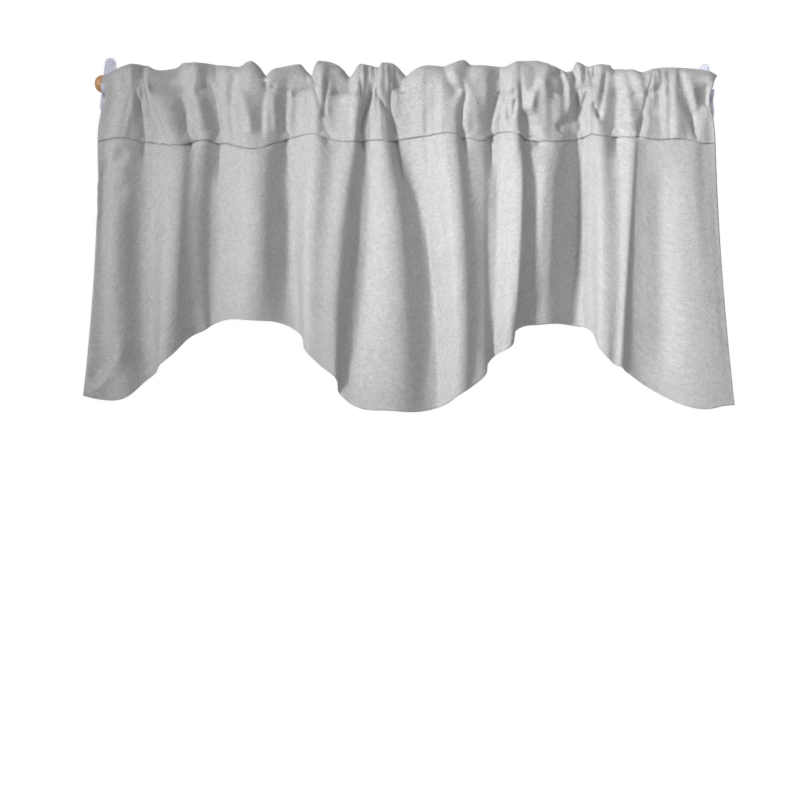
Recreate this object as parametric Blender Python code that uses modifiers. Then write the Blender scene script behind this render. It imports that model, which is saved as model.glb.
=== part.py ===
"""A scalloped satin window valance gathered on a wooden rod, which two wall brackets carry.

Lengths are in metres and +Z is up. The wall is the plane Y = 0 and the room lies towards -Y. The
origin is on the wall, midway between the brackets, at the height of the rod's axis.
"""

from collections import namedtuple
import math

import bmesh
import bpy
from mathutils import Matrix, Vector
import numpy as np

MM = 0.001
COLLECTION = "scalloped_valance"
MERGE_DISTANCE = 0.01 * MM

# The rod, a dowel that lies level in front of the wall
ROD_RADIUS = 10 * MM
ROD_LEFT_END = -369.5 * MM
ROD_RIGHT_END = 360 * MM
ROD_STANDOFF = 45 * MM
ROD_DOME = 7 * MM
ROD_SIDES = 32
DOME_STEPS = 5

# The brackets, each a pear-shaped plate with an arm and a seat under the rod
BRACKET_REACH = 361 * MM
PLATE_THICKNESS = 3 * MM
PLATE_LOW_RADIUS = 12 * MM
PLATE_LOW_HEIGHT = -18 * MM
EAR_RADIUS = 6.5 * MM
EAR_HEIGHT = 35.2 * MM
SCREW_HOLE_RADIUS = 2.4 * MM
ARC_STEPS = 14
ARM_WIDTH = 11 * MM
ARM_SHIFT = 6.5 * MM
ARM_INSIDE_PLATE = 1.5 * MM
ARM_TOP_AT_PLATE = -8 * MM
ARM_FOOT_AT_PLATE = -26 * MM
SEAT_GAP = 0.3 * MM
SEAT_WALL = 3.2 * MM
SEAT_BACK_LAND = 3.2 * MM
SEAT_BACK_ANGLE = 180
SEAT_FRONT_ANGLE = 352
SEAT_TANGENT_ANGLE = 286
SEAT_STEPS = 16
EDGE_ROUNDING = 0.5 * MM
EDGE_ROUNDING_STEPS = 2
ROUNDED_EDGE_ANGLE = 40
CREASED_EDGE_ANGLE = 35

# The cloth, one sheet: the front, the top turned over the rod, and the flap sewn down behind
CLOTH_THICKNESS = 1.2 * MM
ROD_CLEARANCE = 2.4 * MM
NOTCH_CLEARANCE = 0.7 * MM
SEAM_BASE = 50 * MM
MID_BASE = 47 * MM
MID_HEIGHT = -171 * MM
HEM_BASE = 46 * MM
TOP_LEAN = 0.35
BACK_PULL = 16 * MM
BACK_PULL_START = 200 * MM
CLOTH_REACH = 358 * MM
FLARE = 11 * MM
FLARE_AT_ROD = 1.5 * MM
END_TUCK = 2 * MM
END_START = 330 * MM
BACK_GATHER = 0.3
FLAP_OPENING = 6 * MM
QUARTER_TURN_HANDLE = 0.55
FLAT_WIDTH = 880 * MM
BIG_FOLD_SHARE = 0.94
STEEPEST_SEWN = 0.48
STEEPEST_FREE = 0.52
STEEPEST_HEM = 1.0
STEEPEST_OVER_ROD = 0.35
SHALLOWEST_FOLDS = 0.2
DEEPEST_FOLDS = 3.0
HALVINGS = 30
SEAM_SLOPE_SHARE = 0.01
COLUMN_SPACING = 7.8 * MM
BODY_ROWS = 8
POCKET_ROWS = 3

# A row for each fold line down the cloth, in millimetres. head, seam, mid and hem are its places
# along the rod at those four levels, and the three fore values say how far it stands forward of the
# cloth's base there. left and right are how broadly the fold turns on each side, stitch is the
# height of the pocket's sewn line and low the height of the hem.
Fold = namedtuple(
    "Fold", "name head seam mid hem fore_head fore_mid fore_hem left right stitch low"
)
FOLDS = (
    Fold("left edge", -358, -363, -363, -377, 4, 8, 11, 0.8, 0.7, -72, -369),
    Fold("valley 0", -350, -356, -356, -358, 4, 7, 10, 0.7, 0.7, -70, -373),
    Fold("ridge 1", -326, -337, -341, -327, 11, 14, 16, 0.8, 0.8, -68, -371),
    Fold("valley 1", -310, -305, -308, -302, 4, 4, 6, 0.7, 1.2, -71, -349),
    Fold("ridge 2", -303, -265, -267, -277, 10, 17, 22, 1.2, 0.8, -75, -325),
    Fold("dip 2", -267, -248, -254, -250, 2, 12, 6, 0.7, 0.7, -70, -297),
    Fold("rise 2", -251, -240, -245, -236, 9, 9, 3, 0.8, 1.2, -69, -290),
    Fold("valley 2", -232, -222, -224, -228, 3, 2, -1, 1.2, 0.65, -70, -284),
    Fold("ridge 3", -182, -178, -174, -179, 13, 18, 20, 0.9, 0.9, -80, -279),
    Fold("valley 3", -130, -137, -140, -131, 2, 4, 3, 0.7, 1.3, -64, -288),
    Fold("ridge 4", -104, -100, -107, -107, 11, 21, 25, 1.3, 0.8, -63, -323),
    Fold("dip 4", -89, -84, -94, -97, 6, 20, 24.5, 0.8, 0.8, -69, -332),
    Fold("rise 4", -56, -63, -78, -83, 11, 21, 25, 0.8, 1.2, -70, -343),
    Fold("valley 4", -45, -47, -52, -73, 5, 9, 12, 1.2, 0.65, -67, -367),
    Fold("ridge 5", -30, -26, -16, -13, 11, 18, 22, 0.9, 0.9, -68, -383),
    Fold("valley 5", -11, -7, 20, 36, 4, 4, 6, 0.8, 0.7, -65, -380),
    Fold("swell 5", 19, 22, 36, 50, 10, 12, 13, 0.8, 0.8, -62, -374),
    Fold("ridge 6", 52, 52, 61, 68, 17, 24, 23, 0.8, 0.8, -60, -361),
    Fold("dip 6", 72, 71, 78, 81, 8, 17.5, 18.5, 0.8, 0.8, -64, -352),
    Fold("rise 6", 87, 87, 88, 93, 11, 14, 17, 0.8, 1.3, -66, -342),
    Fold("valley 6", 106, 105, 101, 101, 2, 9, 8, 1.3, 0.7, -57, -322),
    Fold("ridge 7", 128, 131, 131, 123, 14, 22, 25, 0.9, 0.8, -59, -307),
    Fold("valley 7", 138, 139, 141, 132, 7, 12.5, 9, 0.7, 0.7, -63, -286),
    Fold("rise 7", 158, 164, 162, 160, 12, 14, 9.5, 0.9, 0.9, -67, -280),
    Fold("valley 8", 203, 206, 202, 202, 1, -6, -12, 0.7, 1.2, -60, -280),
    Fold("rise 8", 213, 216, 216, 219, 5, 6, 3, 1.0, 1.0, -57, -286),
    Fold("ridge 8", 224, 226, 232, 235, 10, 18, 22, 1.2, 0.8, -60, -317),
    Fold("dip 8", 244, 241, 246, 245, 2, 17, 19, 0.8, 0.8, -59, -326),
    Fold("ridge 9", 272, 265, 258, 252, 14, 19, 22, 0.8, 0.7, -62, -329),
    Fold("fall 9", 279, 271, 264, 260, 12, 16.5, 14, 0.7, 0.7, -61, -335),
    Fold("valley 9", 286, 281, 277, 289, 11, 15.5, 6, 0.7, 0.7, -63, -354),
    Fold("ridge 10", 317, 329, 333, 356, 13, 18, 19, 0.9, 0.9, -64, -377),
    Fold("dip 10", 346, 348, 351, 375, 8, 16, 19, 0.8, 0.8, -68, -373),
    Fold("right edge", 356, 361, 365, 386, 8, 14, 18, 0.8, 0.8, -67, -372),
)

# The ruffled top edge, in millimetres: the places and heights over the rod's axis of its points, and
# whether the edge is rounded there, runs on through, or turns sharply in a notch
Ruffle = namedtuple("Ruffle", "place height turn")
RUFFLES = (
    Ruffle(-359, 8, "through"), Ruffle(-342, 18, "through"), Ruffle(-328, 23, "through"),
    Ruffle(-312, 23, "round"), Ruffle(-295, 16, "round"), Ruffle(-273, 21, "through"),
    Ruffle(-265, 26, "round"), Ruffle(-233, 25, "through"), Ruffle(-198, 21, "round"),
    Ruffle(-186, 28, "round"), Ruffle(-174, 20, "through"), Ruffle(-167, 10, "notch"),
    Ruffle(-160, 18, "through"), Ruffle(-148, 22, "through"), Ruffle(-127, 26, "round"),
    Ruffle(-120, 19, "through"), Ruffle(-113, 12, "notch"), Ruffle(-107, 28, "through"),
    Ruffle(-101, 29, "round"), Ruffle(-83, 25, "through"), Ruffle(-74, 17, "through"),
    Ruffle(-67, 8, "notch"), Ruffle(-58, 25, "through"), Ruffle(-52, 26, "round"),
    Ruffle(-34, 22, "notch"), Ruffle(-30, 28, "round"), Ruffle(-20, 28, "round"),
    Ruffle(-7, 19, "through"), Ruffle(-1, 13, "notch"), Ruffle(5, 18, "through"),
    Ruffle(22, 25, "round"), Ruffle(44, 25, "round"), Ruffle(66, 32, "round"), Ruffle(76, 26, "round"),
    Ruffle(114, 25, "round"), Ruffle(127, 30, "through"), Ruffle(147, 32, "round"),
    Ruffle(172, 26, "through"), Ruffle(187, 19, "notch"), Ruffle(196, 24, "through"),
    Ruffle(200, 32, "round"), Ruffle(214, 26, "round"), Ruffle(229, 29, "round"),
    Ruffle(239, 28, "notch"), Ruffle(242, 23, "notch"), Ruffle(264, 22, "through"),
    Ruffle(275, 19, "round"), Ruffle(292, 24, "through"), Ruffle(315, 25, "round"),
    Ruffle(342, 24, "through"), Ruffle(360, 20, "through"), Ruffle(367, 15, "through"),
)
RUFFLE_FLOOR = ROD_RADIUS + NOTCH_CLEARANCE + CLOTH_THICKNESS / 2

SATIN_COLOUR = (0.52, 0.52, 0.53, 1.0)
SATIN_ROUGHNESS = 0.45
WOOD_COLOUR = (0.55, 0.31, 0.14, 1.0)
WOOD_ROUGHNESS = 0.5
PLASTIC_COLOUR = (0.72, 0.73, 0.86, 1.0)
PLASTIC_ROUGHNESS = 0.4


def clear_scene():
    for thing in list(bpy.data.objects):
        bpy.data.objects.remove(thing, do_unlink=True)


def make_collection(name):
    group = bpy.data.collections.new(name)
    bpy.context.scene.collection.children.link(group)
    return group


def make_material(name, colour, roughness):
    material = bpy.data.materials.new(name)
    material.use_nodes = True
    shader = material.node_tree.nodes["Principled BSDF"]
    shader.inputs["Base Color"].default_value = colour
    shader.inputs["Roughness"].default_value = roughness
    shader.inputs["Metallic"].default_value = 0.0
    return material


def add_object(name, mesh, material, group):
    made = bpy.data.objects.new(name, mesh)
    mesh.materials.append(material)
    group.objects.link(made)
    return made


def curve_points(first, first_handle, last_handle, last, t):
    """Points at t, from 0 to 1, along cubic curves given by arrays of control points."""
    s = 1.0 - t
    return (
        s**3 * first
        + 3 * s * s * t * first_handle
        + 3 * s * t * t * last_handle
        + t**3 * last
    )


def flank_segments():
    """How many columns each flank between two fold lines gets."""
    counts = []
    for left, right in zip(FOLDS, FOLDS[1:]):
        across = math.hypot(right.mid - left.mid, right.fore_mid - left.fore_mid) * MM
        counts.append(max(2, round(across / COLUMN_SPACING)))
    return counts


def turning_slopes(places, fores):
    """The slope of a level at each fold line, which is none on a ridge or in a valley."""
    rises = np.diff(fores) / np.diff(places)
    slopes = np.zeros(len(places))
    for k in range(1, len(places) - 1):
        if rises[k - 1] * rises[k] > 0:
            slopes[k] = 2 * rises[k - 1] * rises[k] / (rises[k - 1] + rises[k])
    return slopes


def fold_level(places, fores, scale, steepest):
    """The cloth's line at one level, seen from above, as an array of (x, forward).

    Each flank is a curve from one fold line to the next. At a steepest of 1 it may turn square to
    the wall, and past 1 it may hang over itself a little.
    """
    slopes = turning_slopes(places, fores * scale)
    line = [np.array([(places[0], fores[0] * scale)])]
    for k, count in enumerate(flank_segments()):
        start = np.array((places[k], fores[k] * scale))
        end = np.array((places[k + 1], fores[k + 1] * scale))
        half = 0.5 * math.hypot(*(end - start))
        leaving = half * FOLDS[k].right * np.array((1.0, slopes[k])) / math.hypot(1.0, slopes[k])
        arriving = half * FOLDS[k + 1].left * np.array((1.0, slopes[k + 1]))
        arriving /= math.hypot(1.0, slopes[k + 1])
        ease = min(1.0, 2 * steepest * (end[0] - start[0]) / (leaving[0] + arriving[0]))
        t = (np.arange(1, count + 1) / count)[:, None]
        line.append(curve_points(start, start + leaving * ease, end - arriving * ease, end, t))
    return np.concatenate(line)


def line_length(line):
    return float(np.linalg.norm(np.diff(line, axis=0), axis=1).sum())


def level_of_length(places, fores, steepest, length):
    """The level with its folds made deeper or shallower until it is as long as the cloth in it."""
    low, high = SHALLOWEST_FOLDS, DEEPEST_FOLDS
    for _ in range(HALVINGS):
        scale = (low + high) / 2
        if line_length(fold_level(places, fores, scale, steepest)) < length:
            low = scale
        else:
            high = scale
    return fold_level(places, fores, scale, steepest)


def along_cloth(values, line):
    """A height given at each fold line, carried smoothly along the cloth between them."""
    gone = np.concatenate(([0.0], np.cumsum(np.linalg.norm(np.diff(line, axis=0), axis=1))))
    ends = np.cumsum([0] + flank_segments())
    knots = gone[ends]
    slopes = np.gradient(values, knots)
    heights = []
    for place in gone:
        k = min(int(np.searchsorted(knots, place, side="right")) - 1, len(knots) - 2)
        span = knots[k + 1] - knots[k]
        t = (place - knots[k]) / span
        heights.append(
            curve_points(
                values[k],
                values[k] + slopes[k] * span / 3,
                values[k + 1] - slopes[k + 1] * span / 3,
                values[k + 1],
                t,
            )
        )
    return np.array(heights)


def backward(line):
    """The direction out of the cloth's back at each column of a level, as (x, y, z)."""
    run = np.gradient(line, axis=0)
    run /= np.linalg.norm(run, axis=1)[:, None]
    return np.stack([run[:, 1], run[:, 0], np.zeros(len(run))], axis=1)


def column(name):
    return np.array([getattr(fold, name) for fold in FOLDS]) * MM


def placed(line, base, height):
    """A level's line in the room: along the rod, forward of the wall by base, at a height."""
    return np.stack([line[:, 0], -(base + line[:, 1]), height * np.ones(len(line))], axis=1)


def ruffle_height(x):
    """The height of the ruffled top edge at each place along the rod."""
    places = np.array([r.place for r in RUFFLES]) * MM
    heights = np.maximum(np.array([r.height for r in RUFFLES]) * MM, RUFFLE_FLOOR)
    rises = np.diff(heights) / np.diff(places)
    before = np.concatenate((rises[:1], rises))
    after = np.concatenate((rises, rises[-1:]))
    mean = (before + after) / 2
    turns = np.array([r.turn for r in RUFFLES])
    arriving = np.select([turns == "round", turns == "notch"], [0.0 * mean, before], mean)
    leaving = np.select([turns == "round", turns == "notch"], [0.0 * mean, after], mean)
    k = np.clip(np.searchsorted(places, x, side="right") - 1, 0, len(places) - 2)
    span = places[k + 1] - places[k]
    height = curve_points(
        heights[k],
        heights[k] + leaving[k] * span / 3,
        heights[k + 1] - arriving[k + 1] * span / 3,
        heights[k + 1],
        (x - places[k]) / span,
    )
    return np.maximum(height, RUFFLE_FLOOR)


def cloth_rows():
    """The hung cloth as a list of rows, from the hem up the front, over the rod and down behind."""
    fore_seam = (column("fore_head") + column("fore_mid")) / 2
    sewn_width = FLAT_WIDTH * BIG_FOLD_SHARE
    head_line = level_of_length(column("head"), column("fore_head"), STEEPEST_SEWN, sewn_width)
    seam_line = level_of_length(column("seam"), fore_seam, STEEPEST_SEWN, sewn_width)
    mid_line = level_of_length(column("mid"), column("fore_mid"), STEEPEST_FREE, FLAT_WIDTH)
    hem_line = level_of_length(column("hem"), column("fore_hem"), STEEPEST_HEM, FLAT_WIDTH)
    over_rod = fold_level(column("head"), column("fore_head"), 1.0, STEEPEST_OVER_ROD)

    head_base = ROD_STANDOFF + ROD_RADIUS + ROD_CLEARANCE
    head = placed(head_line, head_base, 0.0)
    past_end = np.maximum(0.0, np.abs(head[:, 0]) - END_START) / (CLOTH_REACH - END_START)
    outward = np.sign(head[:, 0]) * past_end**2
    flared = np.maximum(0.0, outward)
    head[:, 0] += FLARE_AT_ROD * flared
    seam = placed(seam_line, SEAM_BASE, along_cloth(column("stitch"), seam_line))
    mid = placed(mid_line, MID_BASE, MID_HEIGHT)
    hem = placed(hem_line, HEM_BASE, along_cloth(column("low"), hem_line))

    mid_share = ((mid[:, 2] - seam[:, 2]) / (hem[:, 2] - seam[:, 2]))[:, None]

    def body(share):
        """A curve through the seam, the middle level and the hem."""
        from_seam = (share - mid_share) * (share - 1) / mid_share
        from_mid = share * (share - 1) / (mid_share * (mid_share - 1))
        from_hem = share * (share - mid_share) / (1 - mid_share)
        return from_seam * seam + from_mid * mid + from_hem * hem

    rows = [body(step / BODY_ROWS) for step in range(BODY_ROWS, -1, -1)]

    just_below = body(SEAM_SLOPE_SHARE)
    upward = (seam - just_below) / (seam - just_below)[:, 2:]
    third = (head[:, 2:] - seam[:, 2:]) / 3
    rise = np.array((0.0, 0.0, 1.0))
    for step in range(1, POCKET_ROWS + 1):
        t = step / POCKET_ROWS
        row = curve_points(seam, seam + upward * third, head - rise * third, head, t)
        row[:, 0] -= END_TUCK * outward * math.sin(math.pi * t**3)
        rows.append(row)

    top = placed(over_rod, 0.0, 0.0)
    top[:, 1] = -(ROD_STANDOFF + TOP_LEAN * (over_rod[:, 1] - over_rod[:, 1].mean()))
    top[:, 0] += FLARE * flared
    top[:, 2] = ruffle_height(top[:, 0])
    back = placed(over_rod, 0.0, 0.0)
    past = np.maximum(0.0, np.abs(back[:, 0]) - BACK_PULL_START) / (CLOTH_REACH - BACK_PULL_START)
    back[:, 0] -= np.sign(back[:, 0]) * BACK_PULL * past**2
    back[:, 1] = -(ROD_STANDOFF - ROD_RADIUS - ROD_CLEARANCE) + BACK_GATHER * over_rod[:, 1]
    lift = rise * top[:, 2:] * QUARTER_TURN_HANDLE
    across = np.array((0.0, 1.0, 0.0)) * QUARTER_TURN_HANDLE
    to_front = across * (top[:, 1:2] - head[:, 1:2])
    to_back = across * (back[:, 1:2] - top[:, 1:2])
    for step in range(1, POCKET_ROWS + 1):
        rows.append(curve_points(head, head + lift, top - to_front, top, step / POCKET_ROWS))
    for step in range(1, POCKET_ROWS + 1):
        rows.append(curve_points(top, top + to_back, back + lift, back, step / POCKET_ROWS))

    opened = seam + upward * third + FLAP_OPENING * backward(seam_line)
    for step in range(1, POCKET_ROWS + 1):
        rows.append(curve_points(back, back - rise * third, opened, seam, step / POCKET_ROWS))
    return rows


def make_valance(group):
    rows = cloth_rows()
    row_count = len(rows)
    column_count = len(rows[0])
    cloth = bmesh.new()
    bmesh.ops.create_grid(
        cloth, x_segments=column_count - 1, y_segments=row_count - 1, size=1.0
    )
    for vertex in cloth.verts:
        i = round((vertex.co.x + 1) / 2 * (column_count - 1))
        j = round((vertex.co.y + 1) / 2 * (row_count - 1))
        vertex.co = Vector(rows[j][i])
    bmesh.ops.remove_doubles(cloth, verts=cloth.verts, dist=MERGE_DISTANCE)
    mesh = bpy.data.meshes.new("valance")
    cloth.to_mesh(mesh)
    cloth.free()
    satin = make_material("silver_satin", SATIN_COLOUR, SATIN_ROUGHNESS)
    valance = add_object("valance", mesh, satin, group)
    mesh.shade_smooth()
    thicken = valance.modifiers.new("thickness", "SOLIDIFY")
    thicken.solidify_mode = "NON_MANIFOLD"
    thicken.nonmanifold_thickness_mode = "CONSTRAINTS"
    thicken.nonmanifold_boundary_mode = "FLAT"
    thicken.thickness = CLOTH_THICKNESS
    thicken.offset = 0.0
    return valance


def make_rod(group):
    """A turned dowel with domed ends, modelled upright and laid along the brackets."""
    half = (ROD_RIGHT_END - ROD_LEFT_END) / 2
    turned = bmesh.new()
    profile = []
    for step in range(DOME_STEPS + 1):
        angle = math.radians(90 * step / DOME_STEPS)
        radius = ROD_RADIUS * math.sin(angle)
        profile.append((radius, half - ROD_DOME + ROD_DOME * math.cos(angle)))
    profile += [(radius, -height) for radius, height in reversed(profile)]
    corners = [turned.verts.new((radius, 0.0, height)) for radius, height in profile]
    for upper, lower in zip(corners, corners[1:]):
        turned.edges.new((upper, lower))
    mesh = bpy.data.meshes.new("rod")
    turned.to_mesh(mesh)
    turned.free()
    wood = make_material("turned_wood", WOOD_COLOUR, WOOD_ROUGHNESS)
    rod = add_object("rod", mesh, wood, group)
    spin = rod.modifiers.new("turning", "SCREW")
    spin.steps = ROD_SIDES
    spin.render_steps = ROD_SIDES
    spin.use_merge_vertices = True
    spin.merge_threshold = MERGE_DISTANCE
    spin.use_smooth_shade = True
    rod.rotation_euler = (0.0, math.radians(90), 0.0)
    rod.location = ((ROD_LEFT_END + ROD_RIGHT_END) / 2, -ROD_STANDOFF, 0.0)
    return rod


def arc(centre, radius, first, last, steps):
    """Points of an arc from one angle to another, in degrees."""
    points = []
    for step in range(steps + 1):
        angle = math.radians(first + (last - first) * step / steps)
        points.append(
            (centre[0] + radius * math.cos(angle), centre[1] + radius * math.sin(angle))
        )
    return points


def extruded_outline(name, outlines, thickness):
    """A closed mesh from flat outlines, the first solid and the rest holes, centred on its plane."""
    curve = bpy.data.curves.new(name, "CURVE")
    curve.dimensions = "2D"
    curve.fill_mode = "BOTH"
    curve.extrude = thickness / 2
    for outline in outlines:
        spline = curve.splines.new("POLY")
        spline.points.add(len(outline) - 1)
        for point, (across, up) in zip(spline.points, outline):
            point.co = (across, up, 0.0, 1.0)
        spline.use_cyclic_u = True
    drawn = bpy.data.objects.new(name, curve)
    bpy.context.scene.collection.objects.link(drawn)
    seen = drawn.evaluated_get(bpy.context.evaluated_depsgraph_get())
    mesh = bpy.data.meshes.new_from_object(seen)
    bpy.data.objects.remove(drawn, do_unlink=True)
    solid = bmesh.new()
    solid.from_mesh(mesh)
    bmesh.ops.remove_doubles(solid, verts=solid.verts, dist=MERGE_DISTANCE)
    bmesh.ops.recalc_face_normals(solid, faces=solid.faces)
    solid.to_mesh(mesh)
    solid.free()
    return mesh


def plate_mesh():
    """The pear-shaped wall plate with its screw hole, its back on the wall."""
    spread = EAR_HEIGHT - PLATE_LOW_HEIGHT
    lean = math.degrees(math.asin((PLATE_LOW_RADIUS - EAR_RADIUS) / spread))
    outline = arc((0.0, EAR_HEIGHT), EAR_RADIUS, lean, 180 - lean, ARC_STEPS)
    outline += arc(
        (0.0, PLATE_LOW_HEIGHT), PLATE_LOW_RADIUS, 180 - lean, 360 + lean, 2 * ARC_STEPS
    )
    hole = arc((0.0, EAR_HEIGHT), SCREW_HOLE_RADIUS, 0, 360, ARC_STEPS)[:-1]
    mesh = extruded_outline("plate", (outline, hole), PLATE_THICKNESS)
    stand_up = Matrix.Rotation(math.radians(90), 4, "X")
    mesh.transform(Matrix.Translation((0.0, -PLATE_THICKNESS / 2, 0.0)) @ stand_up)
    return mesh


def arm_mesh():
    """The arm with the seat that the rod lies in, drawn from the side and as wide as the arm."""
    centre = (ROD_STANDOFF, 0.0)
    inner = ROD_RADIUS + SEAT_GAP
    outline = [(ARM_INSIDE_PLATE, ARM_TOP_AT_PLATE), (ARM_INSIDE_PLATE, ARM_FOOT_AT_PLATE)]
    outline += arc(centre, inner + SEAT_WALL, SEAT_TANGENT_ANGLE, SEAT_FRONT_ANGLE, SEAT_STEPS // 2)
    outline += arc(centre, inner, SEAT_FRONT_ANGLE, SEAT_BACK_ANGLE, SEAT_STEPS)
    outline.append((ROD_STANDOFF - inner - SEAT_BACK_LAND, 0.0))
    mesh = extruded_outline("arm", (outline,), ARM_WIDTH)
    side_on = Matrix(((0, 0, 1, 0), (-1, 0, 0, 0), (0, 1, 0, 0), (0, 0, 0, 1)))
    mesh.transform(side_on)
    mesh.transform(Matrix.Translation((ARM_SHIFT, 0.0, 0.0)))
    return mesh


def make_brackets(group, cutters):
    """A bracket, its plate joined to its arm, and its mirror image for the other end."""
    plastic = make_material("pale_plastic", PLASTIC_COLOUR, PLASTIC_ROUGHNESS)
    arm = add_object("arm_tool", arm_mesh(), plastic, cutters)
    arm.hide_render = True
    arm.display_type = "WIRE"
    plate = add_object("bracket_left", plate_mesh(), plastic, group)
    join = plate.modifiers.new("arm", "BOOLEAN")
    join.operation = "UNION"
    join.solver = "EXACT"
    join.object = arm
    soften = plate.modifiers.new("soft edges", "BEVEL")
    soften.width = EDGE_ROUNDING
    soften.segments = EDGE_ROUNDING_STEPS
    soften.limit_method = "ANGLE"
    soften.angle_limit = math.radians(ROUNDED_EDGE_ANGLE)
    seen = plate.evaluated_get(bpy.context.evaluated_depsgraph_get())
    joined = bpy.data.meshes.new_from_object(seen)
    plate.modifiers.clear()
    plate.data = joined
    joined.shade_smooth()
    joined.set_sharp_from_angle(angle=math.radians(CREASED_EDGE_ANGLE))
    plate.location.x = -BRACKET_REACH
    mirrored = joined.copy()
    mirrored.name = "bracket_right"
    mirrored.transform(Matrix.Scale(-1, 4, (1, 0, 0)))
    mirrored.flip_normals()
    other = bpy.data.objects.new("bracket_right", mirrored)
    group.objects.link(other)
    other.location.x = BRACKET_REACH


def main():
    clear_scene()
    group = make_collection(COLLECTION)
    cutters = make_collection("tools")
    make_valance(group)
    make_rod(group)
    make_brackets(group, cutters)


main()
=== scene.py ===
from collections import namedtuple
import math

import bmesh
import bpy
from mathutils import Matrix, Vector, noise
import numpy as np


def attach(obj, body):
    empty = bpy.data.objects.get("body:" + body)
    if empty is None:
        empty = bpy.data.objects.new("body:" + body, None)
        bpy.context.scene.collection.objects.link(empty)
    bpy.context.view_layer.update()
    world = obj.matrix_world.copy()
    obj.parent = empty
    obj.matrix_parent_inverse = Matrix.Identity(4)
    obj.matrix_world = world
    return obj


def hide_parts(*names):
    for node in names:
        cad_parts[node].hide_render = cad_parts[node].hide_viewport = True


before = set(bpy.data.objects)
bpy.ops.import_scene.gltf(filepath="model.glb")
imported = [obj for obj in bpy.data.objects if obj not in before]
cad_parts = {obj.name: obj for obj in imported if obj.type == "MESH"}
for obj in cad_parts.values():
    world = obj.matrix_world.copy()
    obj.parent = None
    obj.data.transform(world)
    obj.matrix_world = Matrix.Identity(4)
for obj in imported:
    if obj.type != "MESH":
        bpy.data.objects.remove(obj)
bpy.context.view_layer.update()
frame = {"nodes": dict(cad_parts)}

# The looks of a scalloped satin valance that hangs on a wooden rod in two plastic brackets. Lengths
# are in metres. The brackets' backs lie in the plane Y = 0, the room lies towards -Y, and the rod's
# axis is at Z = 0.

MM = 0.001
BODY = "root"
# Up, and away from the room
UP = np.array((0.0, 0.0, 1.0))
AWAY = np.array((0.0, 1.0, 0.0))
# Points closer together than this count as one
LEAST_DISTANCE = 0.001 * MM

# The rod and the brackets, as in the frame, and the least gap between the rod and the cloth
ROD_RADIUS = 10 * MM
ROD_STANDOFF = 45 * MM
ROD_TOUCH = 0.7 * MM
ROD_LEFT_END = -369.5 * MM
ROD_RIGHT_END = 360 * MM
ROD_SIDES = 72
# How far each ring of the rod's turned end lies from its tip, and its radius, in millimetres
ROD_END = (
    (0.0, 0.0), (0.25, 2.6), (0.8, 4.6), (1.7, 6.3), (2.9, 7.7), (4.3, 8.8), (5.8, 9.6), (7.0, 9.95),
    (7.6, 10.0),
)

# The brackets' screws. The rounding is a share of the head's height, and the rim round the driver's
# socket is a share of its radius.
BRACKET_REACH = 361 * MM
EAR_HEIGHT = 35.2 * MM
PLATE_THICKNESS = 3 * MM
SCREW_HEAD_RADIUS = 3.1 * MM
SCREW_HEAD_HEIGHT = 1.5 * MM
SCREW_ROUNDING = 0.45
SCREW_ROUNDING_STEPS = 3
SCREW_SIDES = 24
SCREW_RIM = 0.3
SCREW_SOCKET_DEPTH = 0.6 * MM
SCREW_SUNK = 0.2 * MM
SCREW_SHARP_EDGE = 40

# The cloth, and the share of its flat width that its folds take up at the rod and at the sewn line.
# Its creases and gathers take up part of the rest.
CLOTH_THICKNESS = 0.45 * MM
FLAT_WIDTH = 880 * MM
HEAD_FOLD_SHARE = 0.85
SEAM_FOLD_SHARE = 0.9

# How far the cloth's base lies from the plane Y = 0 at each level, or from the rod at the rod's own
# level, and how high the middle level is
ROD_CLEARANCE = 2.4 * MM
SEAM_BASE = 50 * MM
MID_BASE = 47 * MM
HEM_BASE = 46 * MM
MID_HEIGHT = -171 * MM

# How much of a fold's depth the top edge and the pocket's back keep
TOP_LEAN = 0.35
BACK_GATHER = 0.3

# The cloth's ends: where they start and how far they reach along the rod, how far the right one
# flares at the top edge and at the rod, and how far both are drawn in over the sewn line, in the
# flap and in the pocket's back
END_START = 330 * MM
CLOTH_REACH = 358 * MM
FLARE = 11 * MM
FLARE_AT_ROD = 1.5 * MM
END_TUCK = 5 * MM
FLAP_TUCK = 14 * MM
BACK_PULL = 16 * MM
BACK_PULL_START = 200 * MM

# How far the flap stands behind the front over the sewn line and at it
FLAP_OPENING = 6 * MM
FLAP_BEHIND = 0.7 * MM

# How long the handles of a curve are that makes a quarter turn
QUARTER_TURN_HANDLE = 0.55

# How steep a fold's flanks may be at each level, as the share of a flank's width that one handle of
# its curve may take up, and how the folds' depth is searched for
STEEPEST_SEWN = 0.48
STEEPEST_FREE = 0.52
STEEPEST_HEM = 1.0
STEEPEST_OVER_ROD = 0.35
SHALLOWEST_FOLDS = 0.2
DEEPEST_FOLDS = 3.0
HALVINGS = 30

# How far under the sewn line the cloth's slope is taken there, as a share of the way to the hem
SEAM_SLOPE_SHARE = 0.01

# Creases: the points in each stretch of a path, how pointed a sharp one is, and the share of its
# path over which each end fades
PATH_STEPS = 6
CUSP_POWER = 1.25
CREASE_FADE = 0.16

# Gathers, the uneven drape and the puckers by the sewn line. The waves are how many there are for
# each metre of flat cloth, across it and down it, and the slice of the noise that they come from.
DRAPE_WAVES = (24.0, 9.0, 1.7)
DRAPE_DEPTH = 0.9 * MM
GATHER_WAVES = (95.0, 32.0, 5.3)
GATHER_DEPTH = 1.9 * MM
GATHER_START = 14 * MM
PUCKER_WAVES = (260.0, 60.0, 9.1)
PUCKER_DEPTH = 0.5 * MM
PUCKER_WIDTH = 5 * MM

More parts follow.
